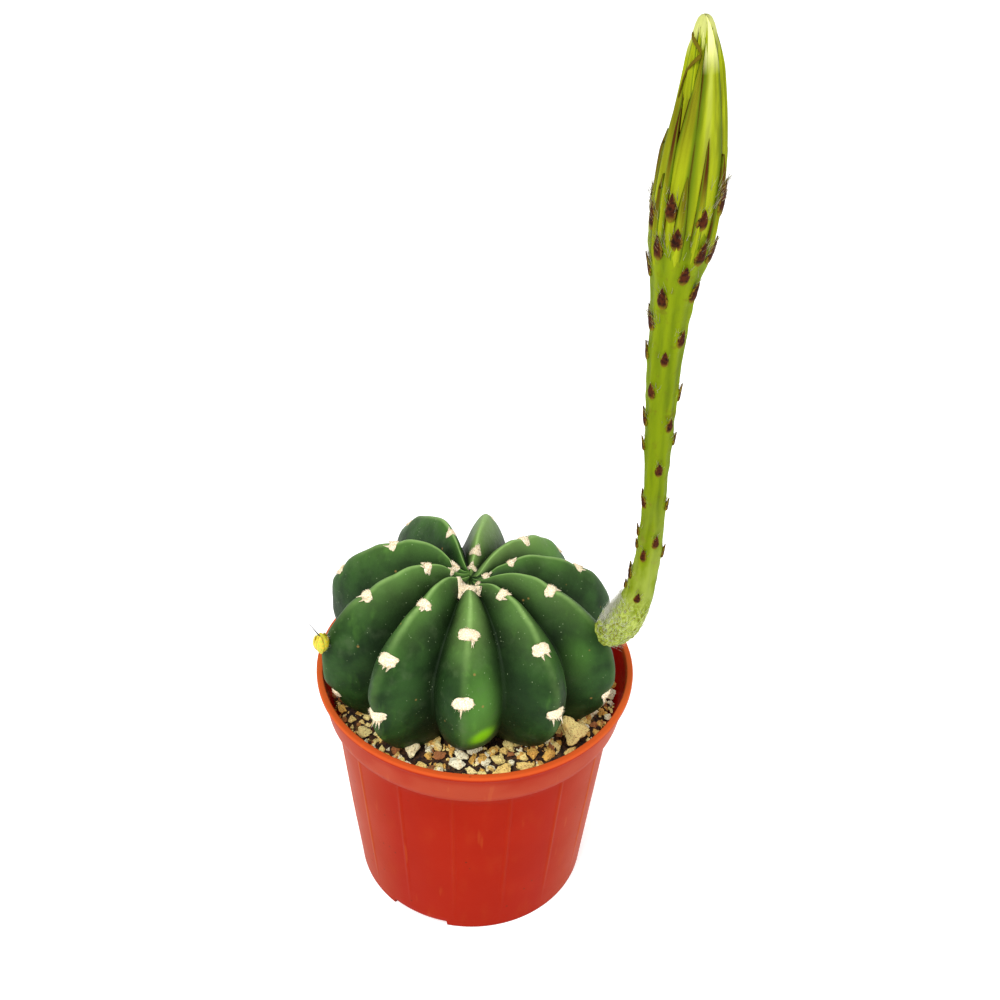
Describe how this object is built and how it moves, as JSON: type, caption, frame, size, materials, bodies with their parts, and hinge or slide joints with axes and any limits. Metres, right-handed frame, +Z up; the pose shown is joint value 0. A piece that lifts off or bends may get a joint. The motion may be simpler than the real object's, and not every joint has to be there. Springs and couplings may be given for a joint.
{
  "type": "potted round cactus",
  "caption": "Dark green ribbed globe cactus with woolly areoles and a long closed flower bud, in a red plastic nursery pot with gritty mix.",
  "frame": {"origin": "centre of the pot's flat underside, on the surface that it stands on", "axes": "+Z up along the pot's axis and the flower, -Y towards the front, +X towards the flower"},
  "size_m": [0.0944, 0.09, 0.2581],
  "materials": {
    "pot_plastic": "semi-gloss terracotta-red polypropylene",
    "gritty_mix": "rough granules of pale pumice in dark peat",
    "cactus_skin": "waxy dark green skin",
    "tube_green": "matt yellow-green with brown scales",
    "bud_green": "soft yellow-green tepals",
    "bud_yellow": "soft yellow with golden scales"
  },
  "bodies": {
    "root": {"pot": "pot_plastic", "potting_mix": "gritty_mix", "cactus_body": "cactus_skin", "flower_tube": "tube_green", "flower_bud": "bud_green", "young_bud": "bud_yellow"}
  },
  "joints": []
}
